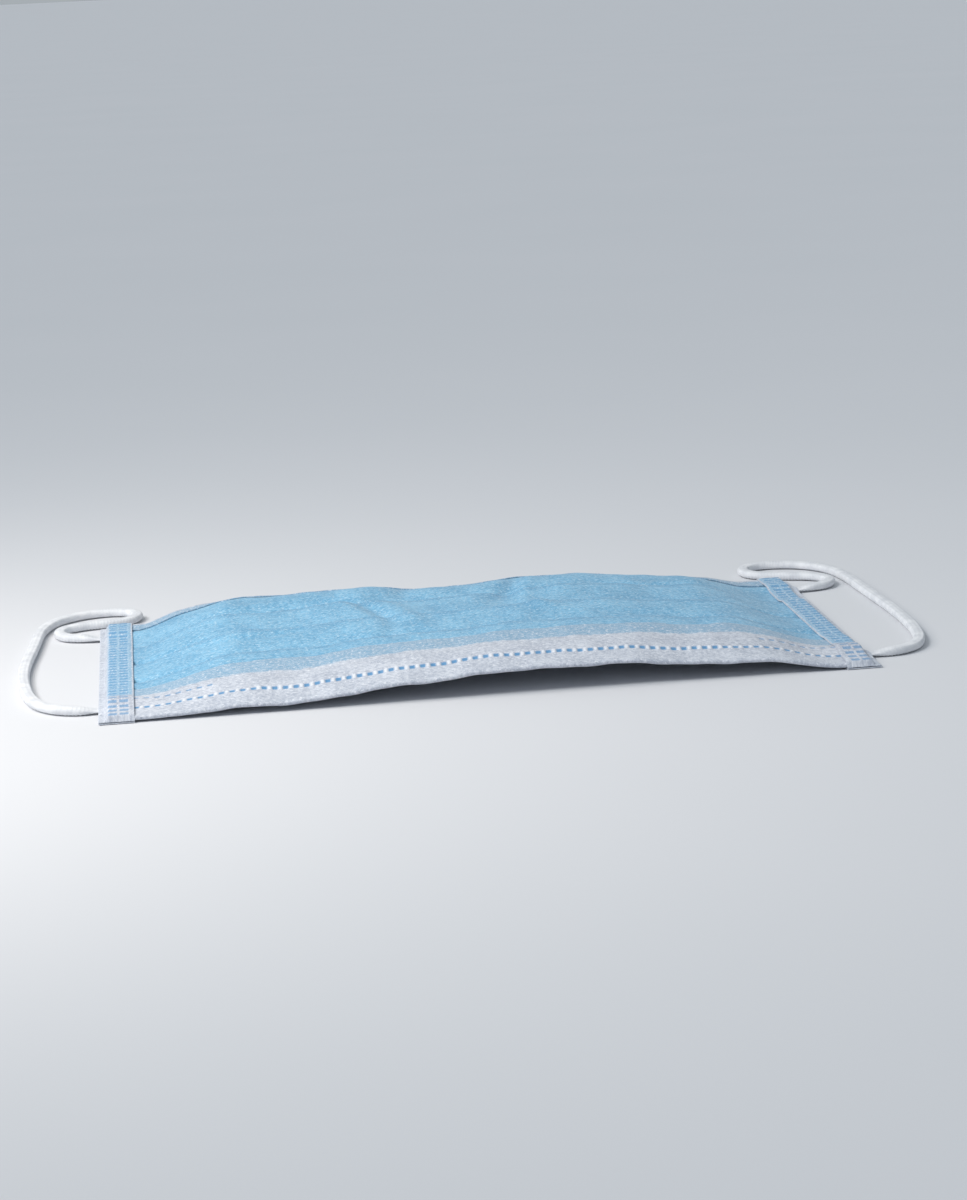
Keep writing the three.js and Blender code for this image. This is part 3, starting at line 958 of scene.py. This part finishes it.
def make_cover():
    stations = np.linspace(-PLY_END, PLY_END, COVER_STATIONS)
    y, z = cover_rows(stations)
    travelled = np.cumsum(step_lengths(y, z), 1).mean(0)
    edges = [float(travelled[np.argmin(np.abs(y[0, 1:] - fold))]) for fold in FOLDS]
    # Painted shade along the cover's fold edges, laid under the fibres
    lines = lambda shade, place: painted_fold_shade(shade, place, edges)
    material = spunbond(Shade("blue_spunbond"), BLUE_DARK, BLUE_LIGHT, BLUE_FLECK, lines)
    piece = make_cloth("cover_cloth", stations, y, z, WALL)
    dress(piece, material, "cover_cloth", "outer_cover")


def make_lining():
    stations = weld_stations(-PLY_END, PLY_END, WELD_PITCH)
    y, z = lining_rows(stations)
    path = float(step_lengths(y, z).sum(1).mean())
    strips = lambda shade, place: sheer_strips(shade, place, path)
    material = spunbond(Shade("white_spunbond"), WHITE_DARK, WHITE_LIGHT, WHITE_FLECK_AND_HIGHLIGHT, strips, hem_welds_and_highlights)
    piece = make_cloth("lining_cloth", stations, y, z, WALL)
    dress(piece, material, "lining_cloth", "inner_lining")


def make_bindings():
    material = spunbond(Shade("sheer_spunbond"), WHITE_DARK, WHITE_LIGHT, WHITE_FLECK_AND_HIGHLIGHT, blue_below, side_welds)
    for side, name in ((-1, "side_binding_left"), (1, "side_binding_right")):
        stations = weld_stations(NOSE_EDGE, CHIN_EDGE, SIDE_PITCH)
        x, z = binding_rows(stations, side)
        cloth_name = name + "_cloth"
        piece = make_cloth(cloth_name, stations, side * x, z, BINDING_WALL, inside_out=side > 0, swap=True)
        dress(piece, material, "binding_cloth", name)


make_cover()
make_lining()
make_bindings()


# Nose wire


def make_wire():
    """A flat plastic strip with a core, bent to the rise of the nose hem."""
    bpy.ops.mesh.primitive_cube_add(size=1.0, location=(0, 0, 0))
    wire = bpy.context.object
    wire.name = "nose_wire_strip"
    wire.scale = (WIRE_LENGTH * MM, WIRE_WIDTH * MM, WIRE_WALL * MM)
    bpy.ops.object.transform_apply(location=False, rotation=False, scale=True)
    wire.data.uv_layers[0].name = "cloth"
    bpy.ops.object.mode_set(mode="EDIT")
    for k in range(1, WIRE_CUTS):
        bpy.ops.mesh.select_all(action="SELECT")
        at = (-WIRE_LENGTH / 2 + WIRE_LENGTH * k / WIRE_CUTS) * MM
        bpy.ops.mesh.bisect(plane_co=(at, 0, 0), plane_no=(1, 0, 0))
    for y in (-0.7, 0.7):
        bpy.ops.mesh.select_all(action="SELECT")
        bpy.ops.mesh.bisect(plane_co=(0, y * MM, 0), plane_no=(0, 1, 0))
    bpy.ops.object.mode_set(mode="OBJECT")
    rounded = wire.modifiers.new("rounded", "BEVEL")
    rounded.width = 0.14 * MM
    rounded.segments = 2
    rounded.angle_limit = math.radians(50)
    bpy.ops.object.modifier_apply(modifier="rounded")
    middle = NOSE_EDGE + WIRE_INSET
    corners = np.empty(len(wire.data.vertices) * 3)
    wire.data.vertices.foreach_get("co", corners)
    corners = corners.reshape(-1, 3) / MM
    x, y = corners[:, 0], corners[:, 1] + middle
    core = 0.04 * np.exp(-((corners[:, 1] / 0.9) ** 2)) * np.sign(corners[:, 2])
    level = panel_level(0, x, y) + COVER_HEIGHT + base_at(x, y)
    corners = np.stack([x, y, level + corners[:, 2] * 0.86 + core + WALL / 2 + WIRE_WALL / 2 + 0.04], 1)
    wire.data.vertices.foreach_set("co", (corners * MM).ravel())
    wire.data.update()
    bpy.ops.object.shade_smooth_by_angle(angle=math.radians(40))
    wire.select_set(False)
    shade = Shade("coated_wire")
    place = shade.object_place()
    drawn = shade.noise(shade.turned(place, 0, (0.02, 0.0004)), 1.0, 2.0)
    colour = shade.blend(drawn, tint(214, 217, 221), tint(236, 238, 240))
    relief = shade.node("ShaderNodeBump", None, {"Strength": 0.2, "Distance": 0.00005, "Height": drawn})
    shade.set(Base_Color=colour, Roughness=0.38 + drawn * 0.14, Normal=relief)
    dress(wire, shade.material, "wire", "nose_wire")


make_wire()


# Floor

FLOOR_SIDE = 90
FLOOR_DROP = 0.0001


def make_floor():
    bpy.ops.mesh.primitive_plane_add(size=1.0, location=(0, 0, -FLOOR_DROP))
    floor = bpy.context.object
    floor.name = "floor"
    floor.scale = (FLOOR_SIDE, FLOOR_SIDE, 1)
    bpy.ops.object.transform_apply(location=True, rotation=False, scale=True)
    floor.select_set(False)
    shade = Shade("pale_floor")
    place = shade.object_place()
    tone = shade.noise(place, 6.0, 2.0)
    shade.set(Base_Color=shade.blend(tone, tint(215, 217, 221), tint(219, 220, 224)), Roughness=0.85)
    floor.data.materials.append(shade.material)


make_floor()
